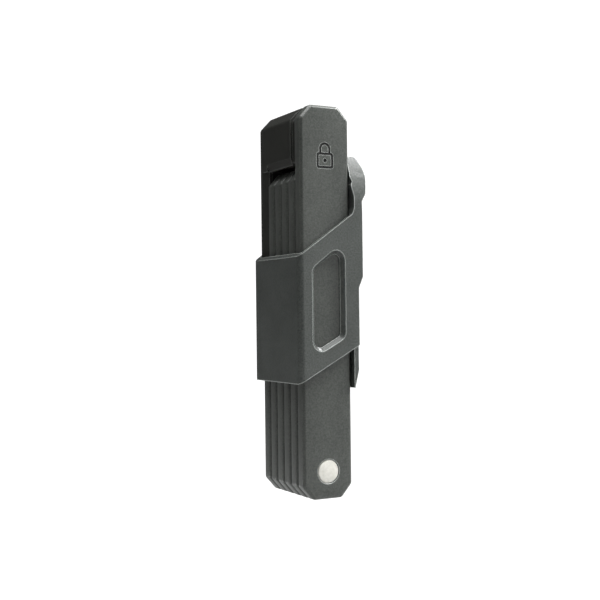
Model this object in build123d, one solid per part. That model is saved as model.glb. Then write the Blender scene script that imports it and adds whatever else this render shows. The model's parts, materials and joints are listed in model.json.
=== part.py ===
from build123d import *
import math
import os

# Folding bike lock carried in its frame holster, all sizes in millimetres.
# The model is laid out with z = 0 at the foot of the folded links, y = 0 on the face of the
# front link and x = 0 through the rivets, and is moved to the mount's own origin on export.

# Folded links
LOCK_HEIGHT = 195.0
LINK_WIDTH = 27.6
LINK_COUNT = 6
LINK_PITCH = 7.4
JACKET_THICK = 6.8
BAR_THICK = 5.0
BAR_WIDTH = 20.8
BAR_INSET = 3.0
BAR_ROUND = 6.0
CORNER_CUT = (5.8, 6.6)
CORNER_ROUND = 2.6
JACKET_ROUND = 1.5
FACE_BEVEL = 1.3
INNER_TOP = 164.5
RIVET_INSET = 13.6
MARK_WIDTH = 9.4
MARK_Z = 167.5
MARK_DEPTH = 0.3
MARK_LINE = 1.2
MARK_BODY = 0.84 * MARK_WIDTH
MARK_BOW = (1.1 * MARK_WIDTH, 0.68 * MARK_WIDTH)
RIVET_LOW = RIVET_INSET
RIVET_HIGH = INNER_TOP - RIVET_INSET

# Rivets
RIVET_SHANK = 4.0
RIVET_HEAD = 5.65
RIVET_EASE = 0.35
HEAD_HOLE = 6.0
WASHER_RADIUS = 6.8
WASHER_PLAY = 0.2
RUNNING_FIT = 0.05

# Lock head
HEAD_BOTTOM = 165.8
HEAD_FRONT = 10.6
HEAD_BACK = 45.4
HEAD_WALL = 2.2
ARM_END = 84.0
ARM_FRONT = 36.95
RIM_BEVEL = (1.3, 3.6)
ARM_BEVEL = 5.6
NECK_FRONT = 7.1
NECK_INSET = 1.4
CASE_FRONT = 12.9
CASE_BACK = 37.6
CASE_BOTTOM = 168.2
CASE_TOP = 192.4
CASE_HALF = 10.6
CASE_INSET = HEAD_WALL + 0.6
BOLT_ROOM_HALF = 9.2
BOLT_ROOM_LOW = 170.2
BOLT_ROOM_TOP = 186.8
BOLT_ROOM_Y = (14.3, 17.2, 35.0)
SCREW_X = 7.2
SCREW_Z = 182.0
SCREW_END = 33.4
SCREW_RADIUS = 1.75
SCREW_HEAD = (3.0, 1.8)
PIN_RADIUS = 1.25
PIN_DEPTH = 36.0
PIN_Z = (172.4, 186.0)
PIN_INNER = 5.0

# Cylinder and bolt work
CYL_Y = 27.6
CYL_RADIUS = 6.5
CORE_RADIUS = 4.5
CORE_TOP = 191.2
CORE_BOTTOM = 174.2
CYL_BOTTOM = 176.2
CYL_PIN_RADIUS = 1.0
CYL_PIN_Z = 179.0
KEYWAY = (1.1, 2.9)
DISC_RADIUS = 3.7
DISC_COUNT = 8
DISC_STACK = (177.1, 189.5)
DISC_PLAY = 0.2
SIDEBAR_HALF = 0.55
SIDEBAR_Z = (177.6, 189.0)
CLIP_Z = (175.2, 175.9)
CLIP_RADIUS = 5.8
GROOVE_RADIUS = 3.9
STUD_Z = 181.0
STUD_HEAD = 3.5
STUD_NECK = 2.0
STUD_PLAY = 0.6
STUD_STEPS = (14.2, 17.3, 19.2)
STUD_EASE = 0.7
BOLT_TRAVEL = 4.0
CAM_THROW = BOLT_TRAVEL / math.sqrt(2)
CAM_PIN = 1.2
CAM_RADIUS = 4.4
CAM_LOW = 172.7
CAM_PIN_LOW = 170.8
BOLT_X = (-9.0, 5.0)
BOLT_Y = (14.6, 17.0)
BOLT_Z = (170.4, 186.4)
BOLT_FOOT_X = (-5.2, 1.2)
BOLT_FOOT_TOP = 172.4
SLOT_PLAY = 0.15

# Dust cover on the head's top
COVER_PIVOT_Y = 36.2
COVER_THICK = 1.2
RECESS_FLOOR = 193.6
COVER_WIDE = 5.3
COVER_NARROW = 3.4
COVER_EASE = 0.35
PIVOT_RADIUS = 1.3
PIVOT_HEAD = 2.3
PIVOT_HEAD_THICK = 0.5
PIVOT_LOW = CASE_TOP - 4.0

# Holster sleeve
GAP = 0.35
SLEEVE_WALL = 2.55
CAVITY_X = LINK_WIDTH / 2 + GAP
SLEEVE_LEFT = -(CAVITY_X + SLEEVE_WALL)
SLEEVE_RIGHT = 17.2
SLEEVE_FRONT = -(GAP + SLEEVE_WALL)
SLEEVE_BACK = HEAD_BACK + GAP + SLEEVE_WALL
SLEEVE_LOW = 57.2
SLEEVE_TOP = 119.6
LOW_SLOPE = 0.5423
TOP_SLOPE = 0.7066
SLEEVE_CORNER = 3.0
LEG_TIP = 54.3
LEG_KNEE = 63.2
LEG_SETBACK = 1.0
LEG_INNER = 14.6
LEG_TOE = 0.4
LEG_SLANT = 2.4
SHOULDER = (104.3, 110.0)
SHOULDER_RIGHT = 19.6
WINDOW_X = (-7.6, 7.4)
WINDOW_LOW = (72.6, 80.7)
WINDOW_HIGH = (112.9, 124.3)
WINDOW_ROUND = 3.2
WINDOW_BEVEL = 1.9
LEDGE_LOW = 66.0
PAD_Z = (72.0, 100.0)
PAD_Y = (12.0, 33.0)
PAD_HEIGHT = 9.0
PAD_DEPTH = 1.2
PAD_PROUD = 0.15

# Release tongue
ROOT = 140.9
ROOT_GAP = 0.2
ROOT_INNER = 14.4
TONGUE_TOP = 171.4
TONGUE_LEAN = 143.0
TONGUE_ARC = 57.0
TOOTH_TIP = 14.0

# Frame mount
MOUNT_X = 23.0
MOUNT_Y = 22.7
MOUNT_Z = 100.0
BOLT_SPACING = 64.0
BOLT_HOLE = 2.7
BOLT_HEAD_ROOM = (5.4, 3.1)
PLATE_HALF = 11.0
PLATE_LIP = 2.0
LIP_THICK = 2.0
PLATE_Z = (61.0, 138.0)
PLATE_X = (17.55, 22.0)
RAIL_WALL = 2.2
RAIL_PLAY = 0.2
FIXING_Z = (84.0, 116.0)
FIXING_RADIUS = 1.5
FIXING_HEAD = 2.9
FIXING_SOCKET = (1.15, 1.3)
FIXING_SUNK = 0.2

ORIGIN = Pos(-MOUNT_X, -MOUNT_Y, -MOUNT_Z)


def slab(sketch, y_front, y_back):
    """Extrude a sketch drawn in X and Z from one depth to another."""
    plane = Plane((0, y_back, 0), x_dir=(1, 0, 0), z_dir=(0, -1, 0))
    return extrude(plane * sketch, y_back - y_front, dir=(0, -1, 0))


def side_slab(sketch, x_low, x_high):
    """Extrude a sketch drawn in Y and Z from one width to another."""
    plane = Plane((x_low, 0, 0), x_dir=(0, 1, 0), z_dir=(1, 0, 0))
    return extrude(plane * sketch, x_high - x_low, dir=(1, 0, 0))


def post(sketch, z_low, z_high):
    """Extrude a sketch drawn in X and Y from one height to another."""
    return extrude(Pos(0, 0, z_low) * sketch, z_high - z_low, dir=(0, 0, 1))


def block(x, y, z):
    """A box between two values on each axis."""
    return Pos(x[0], y[0], z[0]) * Box(x[1] - x[0], y[1] - y[0], z[1] - z[0], align=(Align.MIN,) * 3)


def rod_y(radius, x, z, y_front, y_back):
    return slab(Pos(x, z) * Circle(radius), y_front, y_back)


def rod_z(radius, x, y, z_low, z_high):
    return Pos(x, y, z_low) * Cylinder(radius, z_high - z_low, align=(Align.CENTER, Align.CENTER, Align.MIN))


def rod_x(radius, y, z, x_low, x_high):
    return side_slab(Pos(y, z) * Circle(radius), x_low, x_high)


def link_outline(low, high, inset=0.0, rounding=CORNER_ROUND):
    """A link's outline with its four corners cut and eased, drawn in X and Z."""
    half = LINK_WIDTH / 2 - inset
    low = low + inset
    high = high - inset
    ease = inset * 0.45
    cut_x = CORNER_CUT[0] - ease
    cut_z = CORNER_CUT[1] - ease
    quarter = [(half - cut_x, high), (half, high - cut_z), (half, low + cut_z), (half - cut_x, low)]
    points = quarter + [(-x, z) for x, z in reversed(quarter)]
    outline = Polygon(*points, align=None)
    if rounding > inset:
        outline = fillet(outline.vertices(), rounding - inset * 0.5)
    return outline


def link_depth(number):
    """Middle depth of a link, counted from 1 at the back to 6 at the front."""
    return JACKET_THICK / 2 + (LINK_COUNT - number) * LINK_PITCH


def rivets():
    """Each rivet's two links and height, the joints alternating foot and top."""
    return [(n, n + 1, RIVET_LOW if n % 2 else RIVET_HIGH) for n in range(1, LINK_COUNT)]


def link_top(number):
    if number == 1:
        return CASE_TOP - 2.0
    return LOCK_HEIGHT if number == LINK_COUNT else INNER_TOP


def link_bar(number):
    """Hardened steel bar inside one link, bored for its rivets."""
    middle = link_depth(number)
    top = link_top(number) if number == 1 else link_top(number) - BAR_INSET
    outline = Pos(0, (BAR_INSET + top) / 2) * RectangleRounded(BAR_WIDTH, top - BAR_INSET, BAR_ROUND)
    bar = slab(outline, middle - BAR_THICK / 2, middle + BAR_THICK / 2)
    for low, high, z in rivets():
        if number in (low, high):
            bar -= rod_y(RIVET_SHANK + RUNNING_FIT, 0, z, middle - 4, middle + 4)
    if number == LINK_COUNT:
        bar -= rod_y(STUD_NECK + STUD_PLAY, 0, STUD_Z, middle - 4, middle + 4)
    if number == 1:
        for side in (-1, 1):
            bar -= case_screw(side)
    return bar


def jacket_holes(number):
    """Clearance holes through a jacket: heads on outer faces, washers between links."""
    middle = link_depth(number)
    holes = []
    for low, high, z in rivets():
        if number == high:
            holes.append(rod_y(HEAD_HOLE, 0, z, middle - 5, middle))
            holes.append(rod_y(WASHER_RADIUS + WASHER_PLAY, 0, z, middle, middle + 5))
        if number == low:
            holes.append(rod_y(WASHER_RADIUS + WASHER_PLAY, 0, z, middle - 5, middle))
            holes.append(rod_y(HEAD_HOLE, 0, z, middle, middle + 5))
    return holes


def link_jacket(number):
    """Moulded jacket round one bar; the front one also caps the head and is bevelled."""
    middle = link_depth(number)
    front = middle - JACKET_THICK / 2
    back = middle + JACKET_THICK / 2
    if number == 1:
        jacket = slab(link_outline(0, LOCK_HEIGHT), front, back)
        edges = jacket.edges().filter_by(Plane.XZ)
        jacket = fillet(edges, JACKET_ROUND)
        jacket -= block((-20, 20), (front - 1, back + 1), (ARM_END, LOCK_HEIGHT + 1))
    elif number == LINK_COUNT:
        jacket = slab(link_outline(0, LOCK_HEIGHT), front, back)
        jacket = chamfer(jacket.faces().sort_by(Axis.Y)[0].edges(), FACE_BEVEL)
        jacket = fillet(jacket.faces().sort_by(Axis.Y)[-1].edges(), JACKET_ROUND)
    else:
        jacket = slab(link_outline(0, INNER_TOP), front, back)
        edges = jacket.edges().filter_by(Plane.XZ)
        jacket = fillet(edges, JACKET_ROUND)
    jacket -= link_bar(number)
    for low, high, z in rivets():
        if number in (low, high):
            jacket -= rod_y(RIVET_SHANK + RUNNING_FIT, 0, z, front, back)
    for hole in jacket_holes(number):
        jacket -= hole
    if number == LINK_COUNT:
        jacket -= rod_y(STUD_NECK + STUD_PLAY, 0, STUD_Z, front + 0.9, middle + BAR_THICK / 2)
        jacket -= rod_y(STUD_HEAD + STUD_PLAY, 0, STUD_Z, middle + BAR_THICK / 2, back + 1)
        jacket -= padlock_mark(front)
    return jacket


def padlock_mark(face):
    """Plain closed padlock sunk into the front link's face, its body in outline."""
    body = RectangleRounded(MARK_WIDTH, MARK_BODY, MARK_LINE)
    body -= RectangleRounded(MARK_WIDTH - 2 * MARK_LINE, MARK_BODY - 2 * MARK_LINE, MARK_LINE / 2)
    bow = SlotOverall(*MARK_BOW, rotation=90)
    bow -= SlotOverall(MARK_BOW[0] - 2 * MARK_LINE, MARK_BOW[1] - 2 * MARK_LINE, rotation=90)
    bow = Pos(0, MARK_BODY / 2) * bow
    bow -= Pos(0, MARK_BODY / 2 - MARK_WIDTH / 2) * Rectangle(MARK_WIDTH, MARK_WIDTH)
    mark = body + bow + Circle(MARK_LINE)
    return slab(Pos(0, MARK_Z) * mark, face - 1, face + MARK_DEPTH)


def link_rivet(front_link, back_link, z):
    """Peened rivet through two neighbouring bars, with a low flat head at each end."""
    front_face = link_depth(front_link) - BAR_THICK / 2
    back_face = link_depth(back_link) + BAR_THICK / 2
    thick = (JACKET_THICK - BAR_THICK) / 2 - 0.1
    rivet = rod_y(RIVET_SHANK, 0, z, front_face - thick, back_face + thick)
    rivet += rod_y(RIVET_HEAD, 0, z, front_face - thick, front_face)
    rivet += rod_y(RIVET_HEAD, 0, z, back_face, back_face + thick)
    rims = rivet.edges().filter_by(GeomType.CIRCLE)
    ends = rims.group_by(Axis.Y)
    return chamfer(ends[0] + ends[-1], RIVET_EASE)


def link_washers():
    """Spacer washers between the bars, one on each rivet."""
    washers = []
    for low, high, z in rivets():
        front_face = link_depth(high) + BAR_THICK / 2
        back_face = link_depth(low) - BAR_THICK / 2
        washer = rod_y(WASHER_RADIUS, 0, z, front_face, back_face)
        washers.append(washer - rod_y(RIVET_SHANK + RUNNING_FIT, 0, z, front_face - 1, back_face + 1))
    return Compound(children=washers)


def locking_stud():
    """Mushroom stud riveted to the front bar, caught by the bolt inside the head."""
    middle = link_depth(LINK_COUNT)
    bar_front = middle - BAR_THICK / 2
    bar_back = middle + BAR_THICK / 2
    stud = rod_y(STUD_NECK + STUD_PLAY - RUNNING_FIT, 0, STUD_Z, bar_front, bar_back)
    collar_end, neck_end, head_end = STUD_STEPS
    stud += rod_y(STUD_HEAD, 0, STUD_Z, bar_back, collar_end)
    stud += rod_y(STUD_NECK, 0, STUD_Z, collar_end, neck_end)
    head = rod_y(STUD_HEAD, 0, STUD_Z, neck_end, head_end)
    return stud + chamfer(head.edges().group_by(Axis.Y)[-1], STUD_EASE)


def head_profile(inset, low, high, rounding):
    """The head's outline in X and Z, cut to the same corners as the links."""
    half = LINK_WIDTH / 2 - inset
    top = high - inset
    cut_x = CORNER_CUT[0] + 0.6 - inset * 0.4
    cut_z = CORNER_CUT[1] - inset * 0.4
    points = [(-half, low), (half, low), (half, top - cut_z), (half - cut_x, top), (cut_x - half, top),
              (-half, top - cut_z)]
    outline = Polygon(*points, align=None)
    corners = outline.vertices().group_by(Axis.Y)[1:]
    return fillet([v for group in corners for v in group], rounding)


def head_housing():
    """Moulded housing over the steel case, with an arm that runs down the back link."""
    shell = slab(head_profile(0, HEAD_BOTTOM, LOCK_HEIGHT, CORNER_ROUND), HEAD_FRONT, HEAD_BACK)
    shell += slab(Pos(0, (ARM_END + LOCK_HEIGHT - 20) / 2) *
                  Rectangle(LINK_WIDTH, LOCK_HEIGHT - 20 - ARM_END), ARM_FRONT, HEAD_BACK)
    back_rim = shell.faces().sort_by(Axis.Y)[-1].edges().filter_by(lambda e: e.center().Z > ARM_END + 0.1)
    shell = fillet(back_rim, 1.2)
    shell += slab(head_profile(NECK_INSET, HEAD_BOTTOM + 1.0, LOCK_HEIGHT, 2.0), NECK_FRONT, HEAD_FRONT + 0.1)
    shell -= head_bevels()
    cavity = head_profile(CASE_INSET, HEAD_BOTTOM - 1, CASE_TOP + CASE_INSET + 0.3, 1.0)
    shell -= slab(cavity, CASE_FRONT - 0.1, CASE_BACK + 0.05)
    bar_back = link_depth(1) + BAR_THICK / 2
    bar_room = (-BAR_WIDTH / 2, BAR_WIDTH / 2)
    shell -= slab(cavity, CASE_BACK, bar_back) & block(bar_room, (CASE_BACK - 1, HEAD_BACK), (ARM_END - 1, LOCK_HEIGHT))
    shell -= block(bar_room, (bar_back - BAR_THICK, bar_back), (ARM_END - 1, HEAD_BOTTOM + 1))
    shell -= rod_y(STUD_HEAD + STUD_PLAY, 0, STUD_Z, NECK_FRONT - 1, CASE_FRONT + 1)
    shell -= rod_z(CORE_RADIUS + 0.3, 0, CYL_Y, CORE_TOP, LOCK_HEIGHT + 1)
    shell -= cover_recess()
    shell -= rod_z(PIVOT_RADIUS, 0, COVER_PIVOT_Y, PIVOT_LOW, LOCK_HEIGHT + 1)
    for pin in pin_places():
        shell -= rod_x(PIN_RADIUS, pin[0], pin[1], PIN_INNER, LINK_WIDTH)
    return shell


def head_bevels():
    """Bevels cut along the head's lower rim and along the arm's front edges, on both sides."""
    out, up = RIM_BEVEL
    half = LINK_WIDTH / 2
    rim = Polygon((half - out, HEAD_BOTTOM), (half + 1, HEAD_BOTTOM), (half + 1, HEAD_BOTTOM + up),
                  (half, HEAD_BOTTOM + up), align=None)
    arm = Polygon((half - out, ARM_FRONT), (half + 1, ARM_FRONT), (half + 1, ARM_FRONT + ARM_BEVEL),
                  (half, ARM_FRONT + ARM_BEVEL), align=None)
    rim_cut = slab(rim, HEAD_FRONT - 1, ARM_FRONT)
    arm_cut = post(arm, ARM_END - 1, HEAD_BOTTOM)
    corner = slab(rim, ARM_FRONT, HEAD_BACK) & post(arm, HEAD_BOTTOM, HEAD_BOTTOM + up)
    cut = rim_cut + arm_cut + corner
    return cut + mirror(cut, Plane.YZ)


def cover_recess():
    """Recess in the head's top where the dust cover lies and turns, open on the frame side."""
    return block((-5.6, 20), (CYL_Y - 5.9, COVER_PIVOT_Y + 5.9), (RECESS_FLOOR, LOCK_HEIGHT + 1))


def pin_places():
    """Depth and height of the roll pins that hold the housing on the case."""
    return [(PIN_DEPTH, z) for z in PIN_Z]


def case_screw(side):
    """Countersunk screw from the back link's bar into the steel case."""
    back_face = link_depth(1) + BAR_THICK / 2
    shank = rod_y(SCREW_RADIUS, side * SCREW_X, SCREW_Z, SCREW_END, back_face)
    cone = Cone(SCREW_HEAD[0], SCREW_RADIUS, SCREW_HEAD[1], align=(Align.CENTER, Align.CENTER, Align.MIN))
    return shank + Pos(side * SCREW_X, back_face, SCREW_Z) * Rot(90, 0, 0) * cone


def lock_case():
    """Hardened steel case bored for the cylinder, the stud and the sliding bolt."""
    outline = head_profile(CASE_INSET, CASE_BOTTOM, CASE_TOP + CASE_INSET, 1.0)
    case = slab(outline, CASE_FRONT, CASE_BACK)
    front, middle, back = BOLT_ROOM_Y
    room = (-BOLT_ROOM_HALF, BOLT_ROOM_HALF)
    case -= block(room, (front, back), (BOLT_ROOM_LOW, CYL_BOTTOM))
    case -= block(room, (front, middle), (BOLT_ROOM_LOW, BOLT_ROOM_TOP))
    case -= rod_y(STUD_HEAD + STUD_PLAY, 0, STUD_Z, CASE_FRONT - 1, STUD_STEPS[2] + 0.3)
    case -= rod_z(CYL_RADIUS + RUNNING_FIT, 0, CYL_Y, CYL_BOTTOM - 0.1, CASE_TOP + 1)
    case -= rod_z(PIVOT_RADIUS, 0, COVER_PIVOT_Y, PIVOT_LOW, CASE_TOP + 1)
    for side in (-1, 1):
        case -= case_screw(side)
    for pin in pin_places():
        case -= rod_x(PIN_RADIUS, pin[0], pin[1], PIN_INNER, LINK_WIDTH)
    case -= rod_x(CYL_PIN_RADIUS, CYL_Y, CYL_PIN_Z, PIN_INNER - 0.1, LINK_WIDTH)
    return case


def cylinder_body():
    """Brass cylinder body pinned in the case."""
    body = rod_z(CYL_RADIUS, 0, CYL_Y, CYL_BOTTOM, CORE_TOP + 0.2)
    body -= rod_z(CORE_RADIUS + RUNNING_FIT, 0, CYL_Y, CYL_BOTTOM - 1, CORE_TOP + 2)
    return body - rod_x(CYL_PIN_RADIUS, CYL_Y, CYL_PIN_Z, PIN_INNER - 0.1, LINK_WIDTH)


def cylinder_pin():
    """Hardened pin through the case wall into the cylinder body."""
    return rod_x(CYL_PIN_RADIUS, CYL_Y, CYL_PIN_Z, PIN_INNER, CASE_HALF - 0.1)


def key_core():
    """Turning core with its keyway and a bore for the discs."""
    core = rod_z(CORE_RADIUS, 0, CYL_Y, CORE_BOTTOM, CORE_TOP)
    slot = SIDEBAR_HALF + 0.1
    core -= rod_z(DISC_RADIUS + RUNNING_FIT, 0, CYL_Y, DISC_STACK[0] - 0.1, DISC_STACK[1] + 0.1)
    core -= block((-KEYWAY[0], KEYWAY[0]), (CYL_Y - KEYWAY[1], CYL_Y + KEYWAY[1]),
                  (DISC_STACK[1] - 0.5, CORE_TOP + 1))
    core -= block((-slot, slot), (CYL_Y - CORE_RADIUS - 1, CYL_Y - DISC_RADIUS + 0.6),
                  (SIDEBAR_Z[0] - 0.2, SIDEBAR_Z[1] + 0.2))
    groove = rod_z(CORE_RADIUS + 1, 0, CYL_Y, *CLIP_Z) - rod_z(GROOVE_RADIUS, 0, CYL_Y, *CLIP_Z)
    return core - groove


def detainer_discs():
    """Stack of slotted discs turned by the key, each with a gate for the sidebar."""
    pitch = (DISC_STACK[1] - DISC_STACK[0]) / DISC_COUNT
    gate = SIDEBAR_HALF + 0.15
    discs = []
    for index in range(DISC_COUNT):
        low = DISC_STACK[0] + index * pitch
        through = (low - 1, low + pitch + 1)
        disc = rod_z(DISC_RADIUS, 0, CYL_Y, low, low + pitch - DISC_PLAY)
        disc -= block((-KEYWAY[0], KEYWAY[0]), (CYL_Y - KEYWAY[1] + 0.6, CYL_Y + KEYWAY[1] - 0.6), through)
        disc -= block((-gate, gate), (CYL_Y - CORE_RADIUS, CYL_Y - DISC_RADIUS + 0.7), through)
        discs.append(disc)
    return Compound(children=discs)


def sidebar():
    """Bar that drops into the discs' gates and frees the core."""
    depth = (CYL_Y - CORE_RADIUS + 0.2, CYL_Y - DISC_RADIUS + 0.6)
    return block((-SIDEBAR_HALF, SIDEBAR_HALF), depth, SIDEBAR_Z)


def core_clip():
    """Spring clip in the core's groove, under the cylinder body."""
    low, high = CLIP_Z
    ring = rod_z(CLIP_RADIUS, 0, CYL_Y, low + RUNNING_FIT, high - RUNNING_FIT)
    ring -= rod_z(GROOVE_RADIUS + RUNNING_FIT, 0, CYL_Y, low, high)
    return ring - block((-2.2, 2.2), (CYL_Y, CYL_Y + CLIP_RADIUS + 1), CLIP_Z)


def tail_cam():
    """Disc under the core whose off-centre pin drives the bolt."""
    cam = rod_z(CAM_RADIUS, 0, CYL_Y, CAM_LOW, CORE_BOTTOM)
    offset = CAM_THROW / math.sqrt(2)
    return cam + rod_z(CAM_PIN, -offset, CYL_Y - offset, CAM_PIN_LOW, CAM_LOW + 0.3)


def locking_bolt():
    """Sliding plate with a keyhole slot for the stud and a foot driven by the cam pin."""
    plate = block(BOLT_X, BOLT_Y, BOLT_Z)
    front, back = BOLT_Y[0] - 1, BOLT_Y[1] + 1
    neck = STUD_NECK + SLOT_PLAY
    plate -= rod_y(STUD_HEAD + SLOT_PLAY, -BOLT_TRAVEL, STUD_Z, front, back)
    plate -= block((-BOLT_TRAVEL, 0), (front, back), (STUD_Z - neck, STUD_Z + neck))
    plate -= rod_y(neck, 0, STUD_Z, front, back)
    foot = block(BOLT_FOOT_X, (BOLT_Y[1] - 0.1, CYL_Y + 1.4), (BOLT_Z[0], BOLT_FOOT_TOP))
    slot = Pos(-CAM_THROW / math.sqrt(2), CYL_Y - 2.4) * SlotOverall(4.4, 2 * CAM_PIN + 0.4, rotation=90)
    return plate + foot - post(slot, BOLT_Z[0] - 1, BOLT_FOOT_TOP + 1)


def dust_cover():
    """Swivelling cover over the keyway."""
    low = RECESS_FLOOR + 0.1
    wide, narrow = COVER_WIDE - 0.4, COVER_NARROW - 0.1
    sketch = Pos(0, CYL_Y) * Circle(COVER_WIDE)
    sketch += Pos(0, COVER_PIVOT_Y) * Circle(COVER_NARROW)
    sketch += Polygon((-wide, CYL_Y + 2), (wide, CYL_Y + 2), (narrow, COVER_PIVOT_Y), (-narrow, COVER_PIVOT_Y),
                      align=None)
    cover = post(sketch, low, low + COVER_THICK)
    cover = fillet(cover.faces().sort_by(Axis.Z)[-1].edges(), COVER_EASE)
    cover -= rod_z(PIVOT_RADIUS + RUNNING_FIT, 0, COVER_PIVOT_Y, low - 1, low + 3)
    seat = low + COVER_THICK - PIVOT_HEAD_THICK - RUNNING_FIT
    return cover - rod_z(PIVOT_HEAD + RUNNING_FIT, 0, COVER_PIVOT_Y, seat, low + 3)


def cover_rivet():
    """Headed rivet that the dust cover turns on."""
    top = RECESS_FLOOR + 0.1 + COVER_THICK
    shank = rod_z(PIVOT_RADIUS, 0, COVER_PIVOT_Y, PIVOT_LOW, top)
    return shank + rod_z(PIVOT_HEAD, 0, COVER_PIVOT_Y, top - PIVOT_HEAD_THICK, top)


def housing_pins():
    """Roll pins from the frame side that hold the housing on the case."""
    outer = LINK_WIDTH / 2 - 0.3
    return Compound(children=[rod_x(PIN_RADIUS, y, z, PIN_INNER, outer) for y, z in pin_places()])


def sleeve_outline(x_low, x_high, y_low, y_high, corner):
    width = x_high - x_low
    depth = y_high - y_low
    return Pos((x_low + x_high) / 2, (y_low + y_high) / 2) * RectangleRounded(width, depth, corner)


def low_edge(x):
    return SLEEVE_LOW + (x - SLEEVE_LEFT) * LOW_SLOPE


def top_edge(x):
    return SLEEVE_TOP + (x - SLEEVE_LEFT) * TOP_SLOPE


def window_cut():
    """Slanted window through the front wall, bevelled from the outside."""
    def outline(grow):
        left = WINDOW_X[0] - grow
        right = WINDOW_X[1] + grow
        edges = []
        for (left_z, right_z), side in ((WINDOW_LOW, -1), (WINDOW_HIGH, 1)):
            slope = (right_z - left_z) / (WINDOW_X[1] - WINDOW_X[0])
            reach = side * grow * math.hypot(1, slope)
            edges.append((left_z + reach - grow * slope, right_z + reach + grow * slope))
        low, high = edges
        shape = Polygon((left, low[0]), (right, low[1]), (right, high[1]), (left, high[0]), align=None)
        return fillet(shape.vertices(), WINDOW_ROUND + grow)
    step = SLEEVE_FRONT + SLEEVE_WALL - 0.3
    planes = [(SLEEVE_FRONT, WINDOW_BEVEL), (step, 0.0)]
    sections = [Plane((0, y, 0), x_dir=(1, 0, 0), z_dir=(0, -1, 0)) * outline(grow) for y, grow in planes]
    return loft(sections) + slab(outline(0.0), step, 5)


def holster_sleeve():
    """Moulded sleeve round the folded links: slanted rims, a window and a long leg on the frame side."""
    outline = sleeve_outline(SLEEVE_LEFT, SLEEVE_RIGHT + 6, SLEEVE_FRONT, SLEEVE_BACK, SLEEVE_CORNER)
    outer = post(outline, LEG_TIP, ROOT)
    right = [(SLEEVE_RIGHT, low_edge(SLEEVE_RIGHT)), (SLEEVE_RIGHT, SHOULDER[0]), (SHOULDER_RIGHT, SHOULDER[1]),
             (SHOULDER_RIGHT, ROOT - ROOT_GAP)]
    mouth = [(CAVITY_X + 0.3, ROOT - ROOT_GAP), (CAVITY_X - 0.6, top_edge(CAVITY_X - 0.6))]
    silhouette = Polygon((SLEEVE_LEFT - 1, SLEEVE_LOW), *right, *mouth, (SLEEVE_LEFT, SLEEVE_TOP),
                         (SLEEVE_LEFT - 1, SLEEVE_TOP), align=None)
    sleeve = outer & slab(silhouette, SLEEVE_FRONT - 1, SLEEVE_BACK + 1)
    sleeve += leg()
    cavity = sleeve_outline(-CAVITY_X, CAVITY_X, -GAP, HEAD_BACK + GAP, 1.0)
    sleeve -= post(cavity, LEG_TIP - 1, ROOT + 1)
    sleeve += ledge()
    sleeve -= window_cut()
    sleeve -= plate_recess()
    sleeve += rails()
    for z in PAD_Z:
        sleeve -= pad(z)
    for z in FIXING_Z:
        sleeve -= fixing_screw(z, RUNNING_FIT)
    return sleeve


def leg():
    """Frame-side wall below the sleeve, tapered to a toe beside the links."""
    top = SHOULDER[0]
    wall = Polygon((LEG_INNER, LEG_TIP), (LEG_INNER + LEG_TOE, LEG_TIP), (SLEEVE_RIGHT, LEG_KNEE),
                   (SLEEVE_RIGHT, top), (LEG_INNER, top), align=None)
    front = SLEEVE_FRONT + LEG_SETBACK
    back = SLEEVE_BACK - LEG_SETBACK
    side = Polygon((front + LEG_SLANT, LEG_TIP), (front, LEG_KNEE - 1), (front, top), (back, top),
                   (back, LEG_KNEE - 1), (back - LEG_SLANT, LEG_TIP), align=None)
    return slab(wall, front, back) & side_slab(side, 0, 30)


def ledge():
    """Step in the back wall that the head's arm stands on."""
    front = link_depth(1) + JACKET_THICK / 2 + GAP
    return block((-CAVITY_X, CAVITY_X), (front, HEAD_BACK + GAP + 0.2), (LEDGE_LOW, ARM_END))


def plate_recess():
    """Room for the mount plate behind the thick upper part of the frame-side wall."""
    reach = PLATE_HALF + PLATE_LIP + RAIL_PLAY
    width = (MOUNT_Y - reach, MOUNT_Y + reach)
    return block((SLEEVE_RIGHT, PLATE_X[1] + 5), width, (0, PLATE_Z[1] + RAIL_PLAY))


def rails():
    """Two grooved rails on the frame side that slide down over the mount plate, closed by a cap."""
    inner = PLATE_HALF + RAIL_PLAY
    lip = PLATE_HALF + PLATE_LIP + RAIL_PLAY
    outer = lip + RAIL_WALL
    lip_back = PLATE_X[0] + LIP_THICK + RAIL_PLAY
    cap_low = PLATE_Z[1] + RAIL_PLAY
    cap_high = cap_low + RAIL_WALL
    reach = (SLEEVE_RIGHT - 0.5, PLATE_X[1] - 0.7)
    rail = block(reach, (MOUNT_Y + inner, MOUNT_Y + outer), (PLATE_Z[0] + 2, cap_high))
    rail -= block((SLEEVE_RIGHT, lip_back), (MOUNT_Y, MOUNT_Y + lip), (PLATE_Z[0], cap_low))
    cap = block(reach, (MOUNT_Y - inner - 0.1, MOUNT_Y + inner + 0.1), (cap_low, cap_high))
    return rail + mirror(rail, Plane.XZ.offset(-MOUNT_Y)) + cap


def pad(z):
    """One anti-rattle pad let into the sleeve's outer side wall."""
    return block((-CAVITY_X - PAD_DEPTH, -CAVITY_X + PAD_PROUD), PAD_Y, (z, z + PAD_HEIGHT))


def anti_rattle_pads():
    return Compound(children=[pad(z) for z in PAD_Z])


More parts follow.
